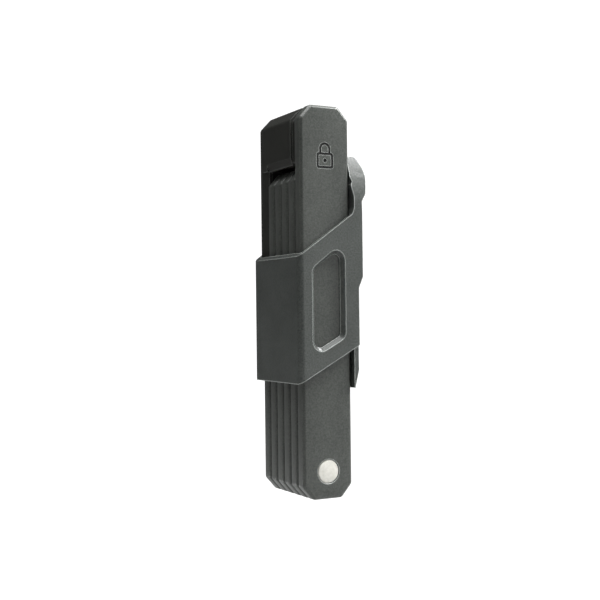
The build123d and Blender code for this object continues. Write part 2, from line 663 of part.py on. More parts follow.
def release_tongue():
    """Springy tongue above the frame-side wall, ending in a thumb pad and a small tooth."""
    inner = [(ROOT_INNER, ROOT), (15.0, 144.5), (15.2, 150.0), (TOOTH_TIP + 0.1, 155.4),
             (TOOTH_TIP + 0.1, 156.2), (15.0, 157.6), (TOOTH_TIP, 160.4), (TOOTH_TIP, TONGUE_TOP - 1.8),
             (TOOTH_TIP + 1.2, TONGUE_TOP - 0.6)]
    outer = [(18.6, TONGUE_TOP), (20.4, TONGUE_TOP - 2.0), (22.6, 164.6), (23.3, 160.5), (22.0, 151.6),
             (20.2, 148.8), (SHOULDER_RIGHT, 147.6), (SHOULDER_RIGHT, ROOT)]
    profile = make_face(Polyline(*inner, *outer, close=True))
    body = slab(profile, SLEEVE_FRONT, SLEEVE_BACK)
    rise = TONGUE_TOP - TONGUE_LEAN
    recede = rise * rise / (2 * TONGUE_ARC)
    edge = [(SLEEVE_FRONT, TONGUE_LEAN), (SLEEVE_FRONT + recede / 4, TONGUE_LEAN + rise / 2),
            (SLEEVE_FRONT + recede, TONGUE_TOP)]
    back = [(SLEEVE_FRONT + SLEEVE_BACK - y, z) for y, z in edge]
    front_foot, back_foot = (edge[0][0], ROOT - 1), (back[0][0], ROOT - 1)
    side = make_face(Line(back_foot, front_foot) + Line(front_foot, edge[0]) + ThreePointArc(*edge)
                     + Line(edge[2], back[2]) + ThreePointArc(*reversed(back)) + Line(back[0], back_foot))
    return body & side_slab(side, 0, 40)


def mount_plate():
    """Plate screwed to the frame first; the holster's rails slide down over its lips."""
    plate = block(PLATE_X, (MOUNT_Y - PLATE_HALF, MOUNT_Y + PLATE_HALF), PLATE_Z)
    plate += block((PLATE_X[0], PLATE_X[0] + LIP_THICK), (MOUNT_Y - PLATE_HALF - PLATE_LIP,
                   MOUNT_Y + PLATE_HALF + PLATE_LIP), PLATE_Z)
    for z in bolt_heights():
        plate -= rod_x(BOLT_HOLE, MOUNT_Y, z, 10, 30)
        plate -= rod_x(BOLT_HEAD_ROOM[0], MOUNT_Y, z, 10, PLATE_X[0] + BOLT_HEAD_ROOM[1])
    for z in FIXING_Z:
        plate -= rod_x(FIXING_RADIUS + RUNNING_FIT, MOUNT_Y, z, 10, PLATE_X[1] - 0.5)
    return plate


def fixing_screw(z, play=0.0):
    """Countersunk screw from inside the sleeve through its wall into the mount plate."""
    seat = CAVITY_X + FIXING_SUNK
    depth = FIXING_HEAD - FIXING_RADIUS
    cone = Cone(FIXING_HEAD + play, FIXING_RADIUS + play, depth, align=(Align.CENTER, Align.CENTER, Align.MIN))
    cone = Pos(seat, MOUNT_Y, z) * Rot(0, 90, 0) * cone
    recess = rod_x(FIXING_HEAD + play, MOUNT_Y, z, CAVITY_X - 1, seat)
    screw = cone + rod_x(FIXING_RADIUS + play, MOUNT_Y, z, seat, PLATE_X[1] - 0.6)
    if play:
        return screw + recess
    socket = extrude(RegularPolygon(FIXING_SOCKET[0], 6), FIXING_SOCKET[1])
    return screw - Pos(seat - 0.1, MOUNT_Y, z) * Rot(0, 90, 0) * socket


def frame_pad():
    """Rubber pad between the mount plate and the frame."""
    sketch = Pos(MOUNT_Y, MOUNT_Z) * RectangleRounded(2 * PLATE_HALF - 1, PLATE_Z[1] - PLATE_Z[0] - 1, 3)
    sheet = side_slab(sketch, PLATE_X[1], MOUNT_X)
    for z in bolt_heights():
        sheet -= rod_x(BOLT_HOLE, MOUNT_Y, z, 10, 30)
    return sheet


def bolt_heights():
    return [MOUNT_Z - BOLT_SPACING / 2, MOUNT_Z + BOLT_SPACING / 2]


parts = {
    "holster_sleeve": holster_sleeve(),
    "anti_rattle_pads": anti_rattle_pads(),
    "release_tongue": release_tongue(),
    "mount_plate": mount_plate(),
    "fixing_screws": Compound(children=[fixing_screw(z) for z in FIXING_Z]),
    "frame_pad": frame_pad(),
    "head_housing": head_housing(),
    "lock_case": lock_case(),
    "case_screws": Compound(children=[case_screw(side) for side in (-1, 1)]),
    "housing_pins": housing_pins(),
    "cylinder_body": cylinder_body(),
    "cylinder_pin": cylinder_pin(),
    "key_core": key_core(),
    "detainer_discs": detainer_discs(),
    "sidebar": sidebar(),
    "core_clip": core_clip(),
    "tail_cam": tail_cam(),
    "locking_bolt": locking_bolt(),
    "locking_stud": locking_stud(),
    "dust_cover": dust_cover(),
    "cover_rivet": cover_rivet(),
    "link_washers": link_washers(),
}
for link in range(1, LINK_COUNT + 1):
    parts[f"link_bar_{link}"] = link_bar(link)
    parts[f"link_jacket_{link}"] = link_jacket(link)
for back_link, front_link, height in rivets():
    parts[f"rivet_{back_link}_{front_link}"] = link_rivet(front_link, back_link, height)

os.makedirs("parts", exist_ok=True)
for name, shape in parts.items():
    export_step(ORIGIN * shape, f"parts/{name}.step")
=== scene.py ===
import bpy, bmesh, json, math
from mathutils import Matrix, Vector

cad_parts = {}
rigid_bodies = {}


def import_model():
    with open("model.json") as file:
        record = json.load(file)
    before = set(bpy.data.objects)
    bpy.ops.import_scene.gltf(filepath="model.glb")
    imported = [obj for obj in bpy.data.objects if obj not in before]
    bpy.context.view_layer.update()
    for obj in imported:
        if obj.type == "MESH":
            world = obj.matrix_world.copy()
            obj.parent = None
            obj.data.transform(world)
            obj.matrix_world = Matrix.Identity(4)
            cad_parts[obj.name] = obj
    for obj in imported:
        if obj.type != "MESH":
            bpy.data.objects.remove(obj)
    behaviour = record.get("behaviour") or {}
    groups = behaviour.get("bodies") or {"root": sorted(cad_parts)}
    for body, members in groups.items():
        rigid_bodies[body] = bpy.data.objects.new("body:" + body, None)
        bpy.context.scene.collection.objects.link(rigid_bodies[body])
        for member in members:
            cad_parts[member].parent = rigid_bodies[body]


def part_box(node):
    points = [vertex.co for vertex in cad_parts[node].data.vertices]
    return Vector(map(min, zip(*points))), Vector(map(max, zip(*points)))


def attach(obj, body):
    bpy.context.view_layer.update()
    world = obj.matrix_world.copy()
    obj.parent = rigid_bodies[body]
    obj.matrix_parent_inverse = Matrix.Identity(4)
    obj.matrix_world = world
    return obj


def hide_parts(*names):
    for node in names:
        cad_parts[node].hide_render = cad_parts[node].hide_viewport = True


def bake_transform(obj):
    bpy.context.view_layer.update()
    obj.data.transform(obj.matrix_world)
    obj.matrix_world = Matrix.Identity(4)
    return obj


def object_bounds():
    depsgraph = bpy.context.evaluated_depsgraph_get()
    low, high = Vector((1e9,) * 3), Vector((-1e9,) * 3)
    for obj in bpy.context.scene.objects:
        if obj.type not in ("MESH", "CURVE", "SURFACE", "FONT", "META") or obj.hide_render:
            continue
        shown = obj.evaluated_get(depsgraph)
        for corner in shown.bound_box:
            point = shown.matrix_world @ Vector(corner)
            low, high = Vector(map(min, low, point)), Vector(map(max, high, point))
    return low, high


for leftover in list(bpy.data.objects):
    bpy.data.objects.remove(leftover)
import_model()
cad_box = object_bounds()

# ---------------------------------------------------------------------------------------------
# The studio: a white sweep that the lock hangs above, as it does on a bicycle frame, two soft boxes
# overhead, a wide light in front and a low card behind the left side that picks out the links.
# ---------------------------------------------------------------------------------------------


def node_material(name, colour, roughness=0.5, metallic=0.0, specular=0.5):
    """A material with one shader, and its nodes and links to build on."""
    material = bpy.data.materials.new(name)
    material.use_nodes = True
    shader = material.node_tree.nodes["Principled BSDF"]
    shader.inputs["Base Color"].default_value = (*colour, 1)
    shader.inputs["Roughness"].default_value = roughness
    shader.inputs["Metallic"].default_value = metallic
    shader.inputs["Specular IOR Level"].default_value = specular
    return material, shader


def sheet_mesh(name, rows):
    """A grid mesh through rows of points."""
    mesh = bpy.data.meshes.new(name)
    across = len(rows[0])
    faces = [(r * across + c, r * across + c + 1, (r + 1) * across + c + 1, (r + 1) * across + c)
             for r in range(len(rows) - 1) for c in range(across - 1)]
    mesh.from_pydata([p for row in rows for p in row], [], faces)
    mesh.polygons.foreach_set("use_smooth", [True] * len(mesh.polygons))
    return mesh


def seen_white(tree, shader, output):
    """Show a surface or the sky white to the camera, and let its own light reach the lock."""
    path, glow, mix = (tree.nodes.new(f"ShaderNode{kind}") for kind in ("LightPath", "Emission", "MixShader"))
    glow.inputs["Strength"].default_value = PAPER_GLOW
    for source, target in ((path.outputs["Is Camera Ray"], mix.inputs[0]), (shader, mix.inputs[1]),
                           (glow.outputs[0], mix.inputs[2]), (mix.outputs[0], output)):
        tree.links.new(source, target)


PAPER_GLOW = 1.2
FLOOR_DROP = 0.065
SWEEP_HALF, SWEEP_FRONT, SWEEP_BACK, SWEEP_ROUND, SWEEP_TOP = 3.6, -3.0, 1.3, 0.7, 3.2
floor_z = cad_box[0].z - FLOOR_DROP
bend = [a * math.pi / 24 for a in range(1, 13)]
sweep_line = [(SWEEP_FRONT, 0.0), (SWEEP_BACK, 0.0)]
sweep_line += [(SWEEP_BACK + SWEEP_ROUND * math.sin(a), SWEEP_ROUND - SWEEP_ROUND * math.cos(a))
               for a in bend]
sweep_line += [(SWEEP_BACK + SWEEP_ROUND, SWEEP_TOP)]
floor = bpy.data.objects.new("floor", sheet_mesh("floor", [
    [(x, y, floor_z + rise) for y, rise in sweep_line] for x in (-SWEEP_HALF, SWEEP_HALF)]))
bpy.context.collection.objects.link(floor)
paper, paper_shader = node_material("white_paper", (0.40, 0.40, 0.40), 0.9, specular=0.1)
paper_out = paper.node_tree.nodes["Material Output"]
seen_white(paper.node_tree, paper_shader.outputs[0], paper_out.inputs["Surface"])
floor.data.materials.append(paper)

world = bpy.data.worlds.new("studio")
bpy.context.scene.world = world
world.use_nodes = True
sky = world.node_tree.nodes["Background"]
sky.inputs["Color"].default_value = (1.0, 1.0, 1.0, 1)
sky.inputs["Strength"].default_value = 0.045
seen_white(world.node_tree, sky.outputs[0], world.node_tree.nodes["World Output"].inputs["Surface"])

LIGHTS = {  # place, aim, size, watts
    "overhead": ((-0.10, -0.16, 0.90), (0.0, 0.0, 0.0), (0.6, 0.6), 9),
    "right_overhead": ((0.60, -0.16, 0.70), (0.0, 0.0, 0.0), (0.42, 0.42), 20),
    "front": ((0.55, -1.6, -0.05), (0.0, 0.0, 0.0), (1.4, 1.2), 5.4),
    "low_card": ((-0.125, 0.090, -0.195), (-0.02, 0.0, -0.085), (0.10, 0.10), 0.50),
}
for name, (place, aim, size, watts) in LIGHTS.items():
    lamp = bpy.data.lights.new(name, "AREA")
    lamp.shape, lamp.size, lamp.size_y, lamp.energy = "RECTANGLE", *size, watts
    light = bpy.data.objects.new(name, lamp)
    light.location = place
    light.rotation_euler = (Vector(aim) - Vector(place)).to_track_quat("-Z", "Y").to_euler()
    light.visible_camera = False
    bpy.context.collection.objects.link(light)

camera_data = bpy.data.cameras.new("camera")
camera_data.lens = 62.04
camera_data.sensor_width = 36
camera_data.clip_start = 0.01
camera = bpy.data.objects.new("camera", camera_data)
CAMERA_PLACE = (-0.27486, -0.46835, -0.00934)
ahead = Vector((0.46942, 0.88285, 0.015195))
right = Vector((0.88297, -0.46928, -0.011686))
up = Vector((0.003186, -0.018903, 0.999816))
turn = Matrix((right, up, -ahead)).transposed().to_4x4()
camera.matrix_world = Matrix.Translation(CAMERA_PLACE) @ turn
bpy.context.collection.objects.link(camera)
bpy.context.scene.camera = camera
bpy.context.scene.view_settings.view_transform = "Standard"

# ---------------------------------------------------------------------------------------------
# Six folded links stand one behind another: a hardened flat bar in each, blanked from plate and
# left dull, bored at its ends. The steel only shows inside the bores, so the bars keep the CAD
# shape and get their finish here.
# ---------------------------------------------------------------------------------------------
MM = 0.001
# The painted edge highlight: how far it reaches, its pale colour, and where it fades in.
EDGE_RADIUS, EDGE_HIGHLIGHT_COLOUR = 0.65, (0.74, 0.78, 0.75, 1)
EDGE_FLAT, EDGE_SHARP = 0.985, 0.90


def wire(material, *steps):
    """Links between nodes, given as (node, output, node, input)."""
    for source, output, target, entry in steps:
        material.node_tree.links.new(source.outputs[output], target.inputs[entry])


def grained(name, dark, light, rough, size, depth, metallic=0.0, specular=0.5, speck=0.5, streak=(1, 1, 1),
            edge_highlight=0.0):
    """A finish with fine grain: its colour, roughness and height follow noise on the piece's own metres,
    and a moulding's edges can carry a painted highlight, a pale colour mixed in along them."""
    material, shader = node_material(name, [(a + b) / 2 for a, b in zip(dark, light)], sum(rough) / 2,
                                     metallic, specular)
    new = material.node_tree.nodes.new
    place = new("ShaderNodeTexCoord")
    stretch = new("ShaderNodeMapping")
    stretch.inputs["Scale"].default_value = streak
    fine = new("ShaderNodeTexNoise")
    fine.inputs["Scale"].default_value = 1 / (size * MM)
    fine.inputs["Detail"].default_value = 3.0
    broad = new("ShaderNodeTexNoise")
    broad.inputs["Scale"].default_value = 60
    broad.inputs["Detail"].default_value = 4.0
    blend = new("ShaderNodeMath")
    blend.operation = "MULTIPLY_ADD"
    blend.inputs[1].default_value = 0.35
    tint = new("ShaderNodeValToRGB")
    tint.color_ramp.elements[0].position = 0.67 - speck / 2
    tint.color_ramp.elements[1].position = 0.67 + speck / 2
    tint.color_ramp.elements[0].color = (*dark, 1)
    tint.color_ramp.elements[1].color = (*light, 1)
    sheen = new("ShaderNodeMapRange")
    sheen.inputs["From Min"].default_value, sheen.inputs["From Max"].default_value = 0.3, 0.7
    sheen.inputs["To Min"].default_value, sheen.inputs["To Max"].default_value = rough
    bump = new("ShaderNodeBump")
    bump.inputs["Strength"].default_value = 0.8
    bump.inputs["Distance"].default_value = depth * MM
    wire(material, (place, "Object", stretch, "Vector"), (stretch, "Vector", fine, "Vector"),
         (place, "Object", broad, "Vector"), (broad, "Fac", blend, 0), (fine, "Fac", blend, 2),
         (blend, "Value", tint, "Fac"), (tint, "Color", shader, "Base Color"),
         (fine, "Fac", sheen, "Value"), (sheen, "Result", shader, "Roughness"),
         (fine, "Fac", bump, "Height"), (bump, "Normal", shader, "Normal"))
    # Painted highlight: a pale colour mixed into the base colour along edges, standing in for light that
    # rounded rims catch.
    if edge_highlight:
        eased = new("ShaderNodeBevel")
        eased.inputs["Radius"].default_value = EDGE_RADIUS * MM
        flat = new("ShaderNodeNewGeometry")
        agree = new("ShaderNodeVectorMath")
        agree.operation = "DOT_PRODUCT"
        edge = new("ShaderNodeMapRange")
        edge.inputs["From Min"].default_value, edge.inputs["From Max"].default_value = EDGE_FLAT, EDGE_SHARP
        edge.inputs["To Max"].default_value = edge_highlight
        highlight_mix = new("ShaderNodeMix")
        highlight_mix.data_type = "RGBA"
        highlight_mix.inputs[7].default_value = EDGE_HIGHLIGHT_COLOUR
        wire(material, (eased, "Normal", agree, 0), (flat, "Normal", agree, 1),
             (agree, "Value", edge, "Value"), (edge, "Result", highlight_mix, 0), (tint, "Color", highlight_mix, 6),
             (highlight_mix, 2, shader, "Base Color"))
    return material


def repaint(material, *nodes):
    """Give CAD nodes that keep their shape their finish."""
    for node in nodes:
        for place in bpy.data.objects[node].material_slots:
            place.material = material


dull_steel = grained("dull_hardened_steel", (0.34, 0.34, 0.33), (0.50, 0.50, 0.49), (0.36, 0.58), 1.1, 0.02,
                     metallic=1.0, streak=(1, 1, 0.2))
repaint(dull_steel, *[f"link_bar_{n}" for n in range(1, 7)])

# ---------------------------------------------------------------------------------------------
# The jackets: charcoal nylon moulded round each bar, their corners cut off and eased. The four
# inner ones are alike, so one is modelled and a tree sets it out along the stack; the front one
# is longer, bevelled, and has a plain padlock sunk in it; the back one ends under the arm.
# ---------------------------------------------------------------------------------------------
PITCH = 7.4
THICK = 6.8
CORNER_CUT = (5.8, 6.6)
CORNER_ROUND = 2.6
INNER_TOP = 164.5
ARM_END = 84.0
FOOT_RIVET, TOP_RIVET = 13.6, 150.9
FACE_BEVEL, BEVEL_SOFT = 1.3, 0.3
JACKET_ROUND, RIVET_HOLE, BORE_LIP = 1.5, 6.0, 0.2
MARK_Z, MARK_WIDTH, MARK_LINE, MARK_DEPTH = 167.5, 9.4, 1.2, 0.3
front_low, front_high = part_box("link_jacket_6")
LOCK_HEIGHT = (front_high.z - front_low.z) / MM
HALF = (front_high.x - front_low.x) / 2 / MM


def at(x, y, z):
    """A point in millimetres from the foot, face and middle of the front link, in the row frame."""
    return ((front_low.x + front_high.x) / 2 + x * MM, front_low.y + y * MM, front_low.z + z * MM)


def rounded(outline, inset=0.0, rounding=CORNER_ROUND, steps=6):
    """An anticlockwise outline moved inwards, each corner eased by its own radius or the common one."""
    corners = [Vector(corner[:2]) for corner in outline]
    points = []
    for i, corner in enumerate(corners):
        come = (corner - corners[i - 1]).normalized()
        go = (corners[(i + 1) % len(corners)] - corner).normalized()
        side_in, side_out = Vector((-come.y, come.x)), Vector((-go.y, go.x))
        tip = corner + inset * (side_in + side_out) / (1 + side_in.dot(side_out))
        turn = math.atan2(come.cross(go), come.dot(go))
        radius = outline[i][2] if len(outline[i]) > 2 else rounding
        radius = max(radius - inset, 0.05) if turn > 0 else radius + max(inset, 0)
        hand = 1 if turn > 0 else -1
        start = tip - come * radius * math.tan(abs(turn) / 2)
        centre = start + side_in * hand * radius
        for step in range(steps + 1):
            swing = Matrix.Rotation(turn * step / steps, 2)
            points.append(centre - swing @ (side_in * hand * radius))
    return points


def ring_solid(name, rings, material):
    """A closed mesh through matching rings of points, with a flat cap at each end."""
    mesh = bpy.data.meshes.new(name)
    work = bmesh.new()
    loops = [[work.verts.new(point) for point in ring] for ring in rings]
    for lower, upper in zip(loops, loops[1:]):
        for i in range(len(lower)):
            work.faces.new((lower[i - 1], lower[i], upper[i], upper[i - 1]))
    work.faces.new(loops[0])
    work.faces.new(loops[-1])
    bmesh.ops.recalc_face_normals(work, faces=work.faces)
    work.to_mesh(mesh)
    work.free()
    mesh.materials.append(material)
    piece = bpy.data.objects.new(name, mesh)
    bpy.context.collection.objects.link(piece)
    return piece


def slab(name, outline, front, back, material, **easing):
    """A solid with an outline in X and Z, from one depth to another."""
    points = rounded(outline, **easing)
    return ring_solid(name, [[at(p.x, y, p.y) for p in points] for y in (front, back)], material)


def settle(piece, smooth=30):
    """Turn a piece's modifiers into its own mesh, smooth but for its sharp edges."""
    made = bpy.data.meshes.new_from_object(piece.evaluated_get(bpy.context.evaluated_depsgraph_get()))
    made.name = piece.name
    piece.modifiers.clear()
    piece.data = made
    if smooth:
        made.set_sharp_from_angle(angle=math.radians(smooth))
    return piece


def combine(piece, operation, *others):
    """Join solids to a piece or cut them out of it, and drop them."""
    for other in others:
        cut = piece.modifiers.new(other.name, "BOOLEAN")
        cut.operation, cut.object, cut.solver, cut.material_mode = operation, other, "EXACT", "TRANSFER"
        settle(piece)
        bpy.data.objects.remove(other)
    return piece


def soften(piece, width, angle=25, segments=3):
    """Ease a moulding's edges as its mould does, and keep its flats flat."""
    ease = piece.modifiers.new("ease", "BEVEL")
    ease.width, ease.segments, ease.angle_limit = width * MM, segments, math.radians(angle)
    ease.limit_method, ease.miter_outer, ease.use_clamp_overlap = "ANGLE", "MITER_ARC", True
    settle(piece, 60)
    piece.modifiers.new("flats", "WEIGHTED_NORMAL").keep_sharp = True
    return settle(piece, None)


def eased_edge(radius, depth, towards, steps=5):
    """Inset and depth along a quarter-round edge, from the flat face to the side."""
    swings = [math.pi / 2 * step / steps for step in range(steps + 1)]
    return [(radius * (1 - math.sin(a)), depth + towards * radius * (1 - math.cos(a))) for a in swings]


def link_outline(high, cut_top=True):
    """A link's outline, anticlockwise from its foot."""
    in_x, up_z = CORNER_CUT
    foot = [(-HALF, up_z), (in_x - HALF, 0), (HALF - in_x, 0), (HALF, up_z)]
    if not cut_top:
        return foot + [(HALF, high, 0.4), (-HALF, high, 0.4)]
    return foot + [(HALF, high - up_z), (HALF - in_x, high), (in_x - HALF, high), (-HALF, high - up_z)]


def link_jacket(name, high, edge, back, material, cut_top=True):
    """One jacket, from its front edge's section to its rounded back edge."""
    rings = [[at(p.x, depth, p.y) for p in rounded(link_outline(high, cut_top), inset)]
             for inset, depth in edge + eased_edge(JACKET_ROUND, back, -1)[::-1]]
    return ring_solid(name, rings, material)


def rivet_bore(name, height, mouth, material, towards=1):
    """A cutter for a rivet's round hole in a jacket, with an eased mouth."""
    turns = [math.tau * i / 72 for i in range(72)]
    section = ((RIVET_HOLE + BORE_LIP * 1.5, -BORE_LIP / 2), (RIVET_HOLE, BORE_LIP), (RIVET_HOLE, THICK + 1))
    rings = [[at(radius * math.cos(a), mouth + towards * y, height + radius * math.sin(a)) for a in turns]
             for radius, y in section]
    return ring_solid(name, rings, material)


def tree(name, sizes):
    """A node tree with a mesh in, a mesh out and a named input for each size, and what those inputs give."""
    group = bpy.data.node_groups.new(name, "GeometryNodeTree")
    group.interface.new_socket("Mesh", in_out="OUTPUT", socket_type="NodeSocketGeometry")
    for label, kind in {"Mesh": "Geometry", **sizes, "Finish": "Material"}.items():
        group.interface.new_socket(label, in_out="INPUT", socket_type="NodeSocket" + kind)
    return group, group.nodes.new("NodeGroupInput").outputs


def step(group, kind, inputs, **settings):
    """A node, its settings, and what goes into it: a value or another node's output."""
    made = group.nodes.new(kind)
    for key, value in settings.items():
        setattr(made, key, value)
    for entry, source in inputs.items():
        if isinstance(source, bpy.types.NodeSocket):
            group.links.new(source, made.inputs[entry])
        else:
            made.inputs[entry].default_value = source
    return made.outputs


def set_out(group, shape, points, given):
    """The end of a tree: a shape set on points, made real and given its finish."""
    placed = step(group, "GeometryNodeInstanceOnPoints", {"Points": points, "Instance": shape})
    real = step(group, "GeometryNodeRealizeInstances", {"Geometry": placed["Instances"]})
    painted = step(group, "GeometryNodeSetMaterial",
                   {"Geometry": real["Geometry"], "Material": given["Finish"]})
    step(group, "NodeGroupOutput", {"Mesh": painted["Geometry"]})


def grow(piece, group, sizes, smooth=30):
    """Run a tree on a piece with these sizes, and keep the plain mesh."""
    growth = piece.modifiers.new(group.name, "NODES")
    growth.node_group = group
    for socket in group.interface.items_tree:
        if socket.in_out == "INPUT" and socket.name in sizes:
            growth[socket.identifier] = sizes[socket.name]
    settle(piece, smooth)
    piece.data.materials.clear()
    piece.data.materials.append(sizes["Finish"])
    piece.data.polygons.foreach_set("material_index", [0] * len(piece.data.polygons))
    return piece


def finish(piece, body, slot, *nodes):
    """Hang a piece on its body and stand it in for its CAD nodes; its slot is not used."""
    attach(piece, body)
    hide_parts(*nodes)


jacket_nylon = grained("jacket_nylon", (0.056, 0.062, 0.056), (0.104, 0.112, 0.102), (0.28, 0.46), 0.70, 0.05,
                       speck=0.42, edge_highlight=0.75)
mark_black = grained("sunk_mark_black", (0.010, 0.010, 0.010), (0.020, 0.020, 0.019), (0.5, 0.7), 0.5, 0.01)

inner_edge = eased_edge(JACKET_ROUND, PITCH, 1)
inner = link_jacket("inner_jackets", INNER_TOP, inner_edge, PITCH + THICK, jacket_nylon)
combine(inner, "DIFFERENCE", rivet_bore("foot_bore", FOOT_RIVET, PITCH, jacket_nylon),
        rivet_bore("top_bore", TOP_RIVET, PITCH, jacket_nylon))
stack, given = tree("stacked_links", {"Links": "Int", "Pitch": "Vector"})
places = step(stack, "GeometryNodeMeshLine", {"Count": given["Links"], "Offset": given["Pitch"]})
set_out(stack, given["Mesh"], places["Mesh"], given)
grow(inner, stack, {"Links": 4, "Pitch": (0, PITCH * MM, 0), "Finish": jacket_nylon})
finish(inner, "lock", "jacket_plastic", *[f"link_jacket_{n}" for n in range(2, 6)])

crisp = [(FACE_BEVEL + BEVEL_SOFT * (1 - t) ** 2 - BEVEL_SOFT * 0.7 * t * t, BEVEL_SOFT * 0.7 * t * t)
         for t in (0, 0.35, 0.65, 1)]
crisp += [(depth, inset) for inset, depth in crisp[::-1]]
front = link_jacket("front_jacket", LOCK_HEIGHT, crisp, THICK, jacket_nylon)


def flat_cutter(name, loops, face, depth, material):
    """A cutter for a sunk mark: closed loops, one inside another making a band, sunk to a depth."""
    drawing = bpy.data.curves.new(name, "CURVE")
    drawing.dimensions, drawing.fill_mode, drawing.extrude = "2D", "BOTH", (depth + 1) / 2
    for loop in loops:
        line = drawing.splines.new("POLY")
        line.points.add(len(loop) - 1)
        for point, place in zip(line.points, loop):
            point.co = (*place[:2], 0, 1)
        line.use_cyclic_u = True
    holder = bpy.data.objects.new(name, drawing)
    bpy.context.collection.objects.link(holder)
    mesh = bpy.data.meshes.new_from_object(holder.evaluated_get(bpy.context.evaluated_depsgraph_get()))
    bpy.data.objects.remove(holder)
    work = bmesh.new()
    work.from_mesh(mesh)
    bmesh.ops.remove_doubles(work, verts=work.verts, dist=0.001)
    for vert in work.verts:
        vert.co = at(vert.co.x, face + depth if vert.co.z > 0 else face - 1, MARK_Z + vert.co.y)
    bmesh.ops.recalc_face_normals(work, faces=work.faces)
    if work.calc_volume(signed=True) < 0:
        bmesh.ops.reverse_faces(work, faces=work.faces)
    work.to_mesh(mesh)
    work.free()
    mesh.materials.clear()
    mesh.materials.append(material)
    cutter = bpy.data.objects.new(name, mesh)
    bpy.context.collection.objects.link(cutter)
    return cutter


def box_loop(width, height, radius):
    """A rounded box drawn about its middle."""
    x, y = width / 2, height / 2
    return rounded([(-x, -y), (x, -y), (x, y), (-x, y)], 0, radius)


body_height = MARK_WIDTH * 0.84
bow_out = MARK_WIDTH * 0.34
bow_in = bow_out - MARK_LINE
bow_foot = body_height / 2 - 0.4
bow_rise = body_height / 2 + MARK_WIDTH * 0.20
arc = [math.pi * i / 16 for i in range(17)]
bow = [(bow_out, bow_foot)] + [(bow_out * math.cos(a), bow_rise + bow_out * math.sin(a)) for a in arc]
bow += [(-bow_out, bow_foot), (-bow_in, bow_foot)]
bow += [(bow_in * math.cos(a), bow_rise + bow_in * math.sin(a)) for a in arc[::-1]] + [(bow_in, bow_foot)]
marks = {
    "mark_body": [box_loop(MARK_WIDTH, body_height, 1.3),
                  box_loop(MARK_WIDTH - 2 * MARK_LINE, body_height - 2 * MARK_LINE, 0.5)],
    "mark_bow": [bow],
    "mark_keyhole": [[(math.cos(a * 2), math.sin(a * 2)) for a in arc[:-1]]],
}
combine(front, "DIFFERENCE", rivet_bore("foot_bore", FOOT_RIVET, 0, jacket_nylon),
        *[flat_cutter(name, loops, 0, MARK_DEPTH, mark_black) for name, loops in marks.items()])
finish(front, "lock", "jacket_plastic", "link_jacket_6")

back_front, back_face = 5 * PITCH, 5 * PITCH + THICK
back_edge = eased_edge(JACKET_ROUND, back_front, 1)
back = link_jacket("back_jacket", ARM_END, back_edge, back_face, jacket_nylon, False)
combine(back, "DIFFERENCE", rivet_bore("back_bore", FOOT_RIVET, back_face, jacket_nylon, -1))
finish(back, "lock", "jacket_plastic", "link_jacket_1")

# ---------------------------------------------------------------------------------------------
# Five rivets, turned from pale stainless steel, join the links foot and top by turns. Each goes
# through two bars with a spacer washer between them and is peened to a low flat head at both
# ends. A tree spins one half-section and sets it out in the zigzag that the links fold in.
# ---------------------------------------------------------------------------------------------
BAR_THICK = 5.0
HEAD_RADIUS, SHANK_RADIUS, HEAD_THICK = 5.65, 4.0, 0.8
WASHER_RADIUS, WASHER_BORE = 6.8, 4.05


def half_section(name, points):
    """A lathe drawing for a tree to spin: an open line of radius and height, from pole to pole."""
    mesh = bpy.data.meshes.new(name)
    edges = [(i, i + 1) for i in range(len(points) - 1)]
    mesh.from_pydata([(r * MM, h * MM, 0) for r, h in points], edges, [])
    piece = bpy.data.objects.new(name, mesh)
    bpy.context.collection.objects.link(piece)
    return piece


turned, given = tree("turned_row", {"Segments": "Int", "Pieces": "Int", "First": "Vector", "Step": "Vector",
                                    "Zigzag": "Vector", "Turn": "Vector"})
section = step(turned, "GeometryNodeMeshToCurve", {"Mesh": given["Mesh"]})
rail = step(turned, "GeometryNodeCurvePrimitiveCircle", {"Resolution": given["Segments"], "Radius": 1e-5})
spun = step(turned, "GeometryNodeCurveToMesh", {"Curve": rail["Curve"], "Profile Curve": section["Curve"]})
closed = step(turned, "GeometryNodeMergeByDistance", {"Geometry": spun["Mesh"], "Distance": 3e-5})
tipped = step(turned, "GeometryNodeTransform", {"Geometry": closed["Geometry"], "Rotation": given["Turn"]})
line = step(turned, "GeometryNodeMeshLine", {"Count": given["Pieces"], "Start Location": given["First"],
                                             "Offset": given["Step"]})
index = step(turned, "GeometryNodeInputIndex", {})
odd = step(turned, "ShaderNodeMath", {0: index["Index"], 1: 2.0}, operation="MODULO")
lift = step(turned, "ShaderNodeVectorMath", {0: given["Zigzag"], "Scale": odd["Value"]}, operation="SCALE")
zigzag = step(turned, "GeometryNodeSetPosition", {"Geometry": line["Mesh"], "Offset": lift["Vector"]})
set_out(turned, tipped["Geometry"], zigzag["Geometry"], given)


def fold_row(name, section, material):
    """Pieces turned to a section, one at each fold of the stack."""
    return grow(half_section(name, section), turned, {
        "Segments": 64, "Pieces": 5, "First": at(0, (THICK + PITCH) / 2, FOOT_RIVET),
        "Step": (0, PITCH * MM, 0), "Zigzag": (0, 0, (TOP_RIVET - FOOT_RIVET) * MM),
        "Turn": (math.pi / 2, 0, 0), "Finish": material})


